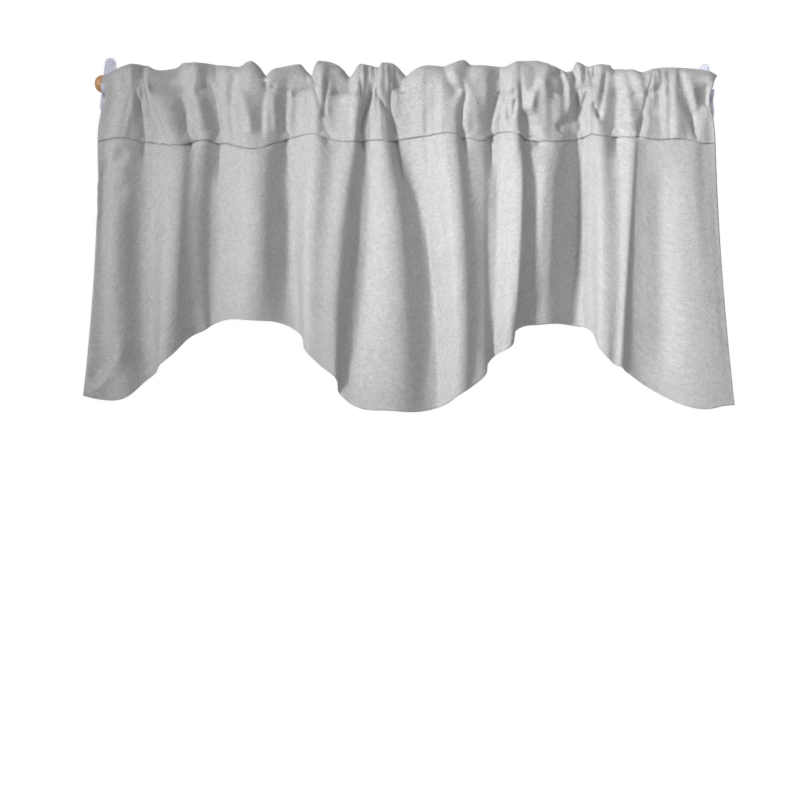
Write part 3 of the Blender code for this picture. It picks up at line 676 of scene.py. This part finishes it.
def creased(points, across):
    """The hung cloth with its creases, its gathers, its uneven drape and its sewn line."""
    down = distance_down(points)
    x, z = points[..., 0], points[..., 2]
    behind = np.arange(len(points)) - TOP_ROW
    reach = np.where(behind > 0, np.clip(1 - behind / BACK_TURN_ROWS, 0, 1), 1.0)[:, None]
    push = np.zeros(x.shape)
    for crease in CREASES:
        push += crease_depth(crease, x, z)
    past_seam = down - down[SEAM_ROW]
    gathered = soft_step(past_seam / GATHER_START + 0.5)
    soft = uneven_waves(across, down, DRAPE_WAVES)
    tight = uneven_waves(across, down, GATHER_WAVES)
    push += DRAPE_DEPTH * soft * (1 - gathered) + GATHER_DEPTH * tight * gathered
    puckers = uneven_waves(across, down, PUCKER_WAVES)
    push += SEAM_DEPTH * bell(past_seam, SEAM_WIDTH)
    push += PUCKER_DEPTH * puckers * bell(past_seam, PUCKER_WIDTH)
    points[..., 1] += push * reach
    return points


def sheet_mesh(name, points, across):
    """A mesh of the rows and columns of points, with a map of the flat cloth in metres on it."""
    row_count, column_count = points.shape[:2]
    down = distance_down(points)
    cloth = bmesh.new()
    bmesh.ops.create_grid(
        cloth, x_segments=column_count - 1, y_segments=row_count - 1, size=1.0
    )
    flat = {}
    for vertex in cloth.verts:
        i = round((vertex.co.x + 1) / 2 * (column_count - 1))
        j = round((vertex.co.y + 1) / 2 * (row_count - 1))
        vertex.co = Vector(points[j, i])
        flat[vertex] = (across[i], down[j, i])
    layer = cloth.loops.layers.uv.new("flat cloth")
    for face in cloth.faces:
        for loop in face.loops:
            loop[layer].uv = flat[loop.vert]
    mesh = mesh_of(name, cloth)
    mesh.shade_smooth()
    return mesh


def stitch_mesh(name, line, outward, across):
    """Short threads in a row along the sewn line, on the front of the cloth."""

    def at(values, distance):
        """What the columns' values come to at a distance across the flat cloth."""
        return Vector([np.interp(distance, across, values[:, i]) for i in range(3)])

    thread = bmesh.new()
    for k in range(int(FLAT_WIDTH / STITCH_PITCH)):
        middle = (k + 0.5) * STITCH_PITCH
        place = at(line, middle)
        out = at(outward, middle).normalized()
        along = (at(line, middle + STITCH_PITCH / 2) - place).normalized()
        beside = out.cross(along).normalized()
        shape = bmesh.ops.create_cube(thread, size=1.0)["verts"]
        bmesh.ops.bevel(
            thread, geom=list({edge for vert in shape for edge in vert.link_edges}),
            offset=STITCH_ROUNDING, affect="EDGES", segments=1, profile=0.5, material=-1,
        )
        fresh = list(thread.verts)[k * STITCH_CORNERS:]
        turn = Matrix((along, beside, out)).transposed()
        size = Matrix.Diagonal((STITCH_LENGTH, STITCH_WIDTH, STITCH_WIDTH))
        where = place + out * STITCH_PROUD
        for vertex in fresh:
            vertex.co = turn @ (size @ vertex.co) + where
    return mesh_of(name, thread)


def make_valance():
    """The satin panel and the stitches of its pocket, with the panel lying on the rod."""
    points, across = hung_rows()
    points = clear_of_rod(creased(points, across))
    mesh = sheet_mesh("satin_valance", points, across)
    valance = add_piece("satin_valance", mesh)
    thicken = valance.modifiers.new("thickness", "SOLIDIFY")
    thicken.thickness = CLOTH_THICKNESS
    thicken.offset = 0.0
    whole = distance_down(points)[-1]

    line = points[SEAM_ROW]
    run = np.gradient(line, axis=0)
    rise = points[SEAM_ROW + 1] - points[SEAM_ROW - 1]
    outward = np.cross(run, rise)
    outward /= np.linalg.norm(outward, axis=1)[:, None]
    sewing = add_piece("sewing", stitch_mesh("sewing", line, outward, across))
    return valance, sewing


def turned_rod():
    """The dowel with its blunt turned ends, lying along the brackets."""
    turned = bmesh.new()
    left = [(ROD_LEFT_END + inwards * MM, radius * MM) for inwards, radius in ROD_END]
    right = [(ROD_RIGHT_END - inwards * MM, radius * MM) for inwards, radius in ROD_END]
    profile = left + right[::-1]
    corners = [turned.verts.new((place, -ROD_STANDOFF, radius)) for place, radius in profile]
    edges = [turned.edges.new(pair) for pair in zip(corners, corners[1:])]
    bmesh.ops.spin(
        turned, geom=corners + edges, cent=(0.0, -ROD_STANDOFF, 0.0), axis=(1.0, 0.0, 0.0),
        angle=math.radians(360), steps=ROD_SIDES, use_merge=True,
    )
    bmesh.ops.remove_doubles(turned, verts=turned.verts, dist=LEAST_DISTANCE)
    bmesh.ops.recalc_face_normals(turned, faces=turned.faces)
    mesh = mesh_of("turned_rod", turned)
    mesh.shade_smooth()
    return add_piece("turned_rod", mesh)


def highest_face(shape):
    """The face of a shape whose middle lies highest."""
    return max(shape.faces, key=lambda face: face.calc_center_median().z)


def screw_head(name, place):
    """A small round screw head in a bracket's ear, with a driver's socket in it."""
    head = bmesh.new()
    bmesh.ops.create_cone(
        head, cap_ends=True, segments=SCREW_SIDES, radius1=SCREW_HEAD_RADIUS,
        radius2=SCREW_HEAD_RADIUS, depth=SCREW_HEAD_HEIGHT,
    )
    bmesh.ops.bevel(
        head, geom=list(highest_face(head).edges), offset=SCREW_HEAD_HEIGHT * SCREW_ROUNDING,
        affect="EDGES", segments=SCREW_ROUNDING_STEPS, profile=0.5, material=-1,
    )
    front = highest_face(head)
    bmesh.ops.inset_region(head, faces=[front], thickness=SCREW_HEAD_RADIUS * SCREW_RIM)
    bmesh.ops.translate(head, verts=front.verts, vec=(0.0, 0.0, -SCREW_SOCKET_DEPTH))
    mesh = mesh_of(name, head)
    facing = Matrix.Rotation(math.radians(90), 4, "X")
    mesh.transform(Matrix.Translation(place) @ facing)
    mesh.shade_smooth()
    mesh.set_sharp_from_angle(angle=math.radians(SCREW_SHARP_EDGE))
    return add_piece(name, mesh)


# Finishes

def make_grain_group():
    """The shader node group of a fine grain, for the thread, the wood and the plastic.

    It makes noise over a stretched place, and puts it out as a height and as a colour between dark
    and light.
    """
    group = bpy.data.node_groups.new("fine grain", "ShaderNodeTree")
    sockets = (
        ("Place", "INPUT", "Vector"), ("Stretch", "INPUT", "Vector"), ("Detail", "INPUT", "Float"),
        ("Roughness", "INPUT", "Float"), ("Dark", "INPUT", "Color"), ("Light", "INPUT", "Color"),
        ("Colour", "OUTPUT", "Color"), ("Height", "OUTPUT", "Float"),
    )
    for name, side, kind in sockets:
        group.interface.new_socket(name=name, in_out=side, socket_type="NodeSocket" + kind)
    given = group.nodes.new("NodeGroupInput").outputs
    result = group.nodes.new("NodeGroupOutput").inputs
    stretched = group.nodes.new("ShaderNodeMapping")
    uneven = group.nodes.new("ShaderNodeTexNoise")
    uneven.inputs["Scale"].default_value = 1.0
    tint = group.nodes.new("ShaderNodeMix")
    tint.data_type = "RGBA"
    links = (
        (given["Place"], stretched.inputs["Vector"]),
        (given["Stretch"], stretched.inputs["Scale"]),
        (stretched.outputs["Vector"], uneven.inputs["Vector"]),
        (given["Detail"], uneven.inputs["Detail"]),
        (given["Roughness"], uneven.inputs["Roughness"]),
        (uneven.outputs["Fac"], tint.inputs["Factor"]),
        (given["Dark"], tint.inputs["A"]),
        (given["Light"], tint.inputs["B"]),
        (tint.outputs["Result"], result["Colour"]),
        (uneven.outputs["Fac"], result["Height"]),
    )
    for source, target in links:
        group.links.new(source, target)
    return group


class Nodes:
    """Adds shader nodes to a material and joins them."""

    def __init__(self, material):
        self.tree = material.node_tree
        self.shader = self.tree.nodes["Principled BSDF"]

    def add(self, kind, values=None, **settings):
        """A new shader node with its settings, and the values of its inputs by their names."""
        node = self.tree.nodes.new("ShaderNode" + kind)
        for setting, value in settings.items():
            setattr(node, setting, value)
        for name, value in (values or {}).items():
            node.inputs[name].default_value = value
        return node

    def join(self, source, target):
        """Links one node's output to another's input."""
        self.tree.links.new(source, target)

    def math(self, operation, first, second):
        """Two values put together. Each is an output or a plain number."""
        node = self.add("Math", operation=operation)
        for socket, value in zip(node.inputs, (first, second)):
            if isinstance(value, float):
                socket.default_value = value
            else:
                self.join(value, socket)
        return node.outputs["Value"]

    def noise(self, place, scale, detail, roughness=0.5):
        """Noise from 0 to 1 over a place."""
        node = self.add("TexNoise", {"Scale": scale, "Detail": detail, "Roughness": roughness})
        self.join(place, node.inputs["Vector"])
        return node.outputs["Fac"]

    def scaled(self, place, scale):
        """A place stretched along each axis."""
        node = self.add("Mapping", {"Scale": scale})
        self.join(place, node.inputs["Vector"])
        return node.outputs["Vector"]

    def turned(self, place, angle):
        """A place turned about its third axis, by degrees."""
        node = self.add("Mapping", {"Rotation": (0.0, 0.0, math.radians(angle))})
        self.join(place, node.inputs["Vector"])
        return node.outputs["Vector"]

    def between(self, share, low, high):
        """The share, from 0 to 1, taken to the range from low to high."""
        node = self.add("MapRange", {"To Min": low, "To Max": high})
        self.join(share, node.inputs["Value"])
        return node.outputs["Result"]

    def tinted(self, share, dark, light):
        """A colour between dark and light by the share."""
        node = self.add("Mix", {"A": (*dark, 1.0), "B": (*light, 1.0)}, data_type="RGBA")
        self.join(share, node.inputs["Factor"])
        return node.outputs["Result"]

    def grain(self, group, place, stretch, detail, roughness, dark, light):
        """The grain group placed with its own values: its colour and its height."""
        values = {"Stretch": stretch, "Detail": detail, "Roughness": roughness}
        values |= {"Dark": (*dark, 1.0), "Light": (*light, 1.0)}
        node = self.add("Group", values, node_tree=group)
        self.join(place, node.inputs["Place"])
        return node.outputs["Colour"], node.outputs["Height"]

    def bump(self, height, distance, strength):
        """Gives the shader's surface small hills by a height."""
        node = self.add("Bump", {"Distance": distance, "Strength": strength})
        self.join(height, node.inputs["Height"])
        self.join(node.outputs["Normal"], self.shader.inputs["Normal"])


def new_material(name, colour, roughness):
    """A material of one colour and roughness, to which nodes can be added."""
    material = bpy.data.materials.new(name)
    material.use_nodes = True
    shader = material.node_tree.nodes["Principled BSDF"]
    shader.inputs["Base Color"].default_value = (*colour, 1.0)
    shader.inputs["Roughness"].default_value = roughness
    return material


def make_satin():
    """Grey satin: fine threads both ways, thicker slubs here and there, and a soft sheen."""
    material = new_material("satin", (0.45, 0.45, 0.455), 0.5)
    nodes = Nodes(material)
    flat = nodes.add("UVMap", uv_map="flat cloth").outputs["UV"]
    slanted = nodes.turned(flat, 38.0)
    grain = nodes.noise(flat, scale=520.0, detail=3.0, roughness=0.65)
    broad = nodes.noise(flat, scale=34.0, detail=2.0)
    slub = nodes.noise(nodes.scaled(flat, (120.0, 900.0, 1.0)), scale=1.0, detail=2.0)
    streak = nodes.noise(nodes.scaled(slanted, (260.0, 700.0, 1.0)), scale=1.0, detail=2.0)
    weft = nodes.noise(nodes.scaled(flat, (420.0, 2800.0, 1.0)), scale=1.0, detail=1.0)
    mottle = nodes.noise(flat, scale=150.0, detail=3.0, roughness=0.6)
    # How far each noise takes the shade to either side of the middle
    reaches = ((grain, 0.38), (broad, 0.12), (slub, 0.2), (streak, 0.34), (mottle, 0.3))
    shade = 0.5
    for uneven, reach in reaches:
        shade = nodes.math("ADD", nodes.between(uneven, -reach, reach), shade)
    colour = nodes.tinted(shade, dark=(0.28, 0.28, 0.281), light=(0.63, 0.63, 0.632))
    nodes.join(colour, nodes.shader.inputs["Base Color"])
    nodes.join(nodes.between(grain, 0.42, 0.62), nodes.shader.inputs["Roughness"])
    height = nodes.math("ADD", grain, nodes.math("MULTIPLY", weft, 0.4))
    height = nodes.math("ADD", height, streak)
    height = nodes.math("ADD", height, nodes.math("MULTIPLY", mottle, 1.5))
    nodes.bump(height, distance=0.7 * MM, strength=0.7)
    nodes.shader.inputs["Specular IOR Level"].default_value = 0.35
    nodes.shader.inputs["Sheen Weight"].default_value = 0.15
    nodes.shader.inputs["Sheen Roughness"].default_value = 0.4
    return material


def make_thread_with_painted_seam_shade(grain):
    """Grey sewing thread, darker than the satin so that it also gives painted shade along the sewn line's
    dent; its turns a little lighter and darker along it.
    """
    material = new_material("thread", (0.2, 0.2, 0.205), 0.6)
    nodes = Nodes(material)
    place = nodes.add("TexCoord").outputs["Object"]
    # The thread's dark grey is partly painted shade: it darkens the sewn line the way the shadow in its dent
    # would.
    colour, twist = nodes.grain(
        grain, place, stretch=(1400.0, 500.0, 500.0), detail=2.0, roughness=0.5,
        dark=(0.22, 0.22, 0.225), light=(0.42, 0.42, 0.425),
    )
    nodes.join(colour, nodes.shader.inputs["Base Color"])
    nodes.bump(twist, distance=0.1 * MM, strength=0.4)
    return material


def make_wood(grain):
    """Reddish brown wood with its grain along the rod."""
    material = new_material("wood", (0.55, 0.28, 0.12), 0.4)
    nodes = Nodes(material)
    place = nodes.add("TexCoord").outputs["Object"]
    colour, fibres = nodes.grain(
        grain, place, stretch=(14.0, 420.0, 420.0), detail=4.0, roughness=0.6,
        dark=(0.36, 0.16, 0.06), light=(0.74, 0.42, 0.2),
    )
    nodes.join(colour, nodes.shader.inputs["Base Color"])
    nodes.bump(fibres, distance=0.2 * MM, strength=0.3)
    nodes.shader.inputs["Coat Weight"].default_value = 0.25
    nodes.shader.inputs["Coat Roughness"].default_value = 0.25
    return material


def make_plastic(grain):
    """Pale lavender moulded plastic, faintly cloudy and with a finer texture."""
    material = new_material("plastic", (0.7, 0.71, 0.85), 0.42)
    nodes = Nodes(material)
    place = nodes.add("TexCoord").outputs["Object"]
    colour, _ = nodes.grain(
        grain, place, stretch=(160.0, 160.0, 160.0), detail=2.0, roughness=0.5,
        dark=(0.66, 0.67, 0.82), light=(0.76, 0.77, 0.9),
    )
    nodes.join(colour, nodes.shader.inputs["Base Color"])
    nodes.bump(nodes.noise(place, scale=1900.0, detail=2.0), distance=0.06 * MM, strength=0.4)
    return material


# The room: floor, light and camera

def make_room():
    """A plain pale floor, far enough below to stay out of the picture."""
    plane = bmesh.new()
    bmesh.ops.create_grid(plane, x_segments=1, y_segments=1, size=FLOOR_SIZE)
    mesh = mesh_of("floor", plane)
    mesh.transform(Matrix.Translation((0, 0, FLOOR_HEIGHT)))
    floor = add_object("floor", mesh)
    floor.data.materials.append(new_material("floor_paint", (0.8, 0.8, 0.8), 0.9))


def add_light(lamp):
    """A round area light at the lamp's place, turned to its target."""
    disk = bpy.data.lights.new(lamp.name, "AREA")
    disk.shape = "DISK"
    disk.size = lamp.size
    disk.energy = lamp.power
    disk.spread = math.radians(lamp.spread)
    light = add_object(lamp.name, disk)
    light.location = lamp.place
    way = Vector(lamp.target) - Vector(lamp.place)
    light.rotation_euler = way.to_track_quat("-Z", "Y").to_euler()


def make_world():
    """White all round: full white to the camera, and dimmer as light."""
    world = bpy.data.worlds.new("white studio")
    bpy.context.scene.world = world
    world.use_nodes = True
    tree = world.node_tree
    back = tree.nodes["Background"]
    back.inputs["Color"].default_value = (1.0, 1.0, 1.0, 1.0)
    seen = tree.nodes.new("ShaderNodeLightPath")
    strength = tree.nodes.new("ShaderNodeMapRange")
    strength.inputs["To Min"].default_value = LIGHT_ALL_ROUND
    strength.inputs["To Max"].default_value = 1.0
    tree.links.new(seen.outputs["Is Camera Ray"], strength.inputs["Value"])
    tree.links.new(strength.outputs["Result"], back.inputs["Strength"])


def make_camera():
    """The photo's camera, level and straight ahead, rolled by a little."""
    lens = bpy.data.cameras.new("camera")
    lens.sensor_width = SENSOR
    lens.lens = SENSOR * VIEW_DISTANCE / VIEW_WIDTH
    camera = add_object("camera", lens)
    camera.location = CAMERA_PLACE
    camera.rotation_euler = (math.radians(90), math.radians(CAMERA_ROLL), 0.0)
    bpy.context.scene.camera = camera


def main():
    """Builds the pieces with their finishes, then the room, the lights and the camera."""
    nodes = frame["nodes"]
    grain = make_grain_group()
    rod = turned_rod()
    rod.data.materials.append(make_wood(grain))
    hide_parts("rod")
    valance, sewing = make_valance()
    valance.data.materials.append(make_satin())
    sewing.data.materials.append(make_thread_with_painted_seam_shade(grain))
    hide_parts("valance")
    plastic = make_plastic(grain)
    for side, name in ((-1, "bracket_left"), (1, "bracket_right")):
        nodes[name].data.materials.clear()
        nodes[name].data.materials.append(plastic)
        front = PLATE_THICKNESS + SCREW_HEAD_HEIGHT / 2 - SCREW_SUNK
        screw = screw_head(name + "_screw", (side * BRACKET_REACH, -front, EAR_HEIGHT))
        screw.data.materials.append(plastic)
    make_room()
    make_world()
    for lamp in LAMPS:
        add_light(lamp)
    make_camera()
    bpy.context.scene.view_settings.view_transform = "Standard"


main()
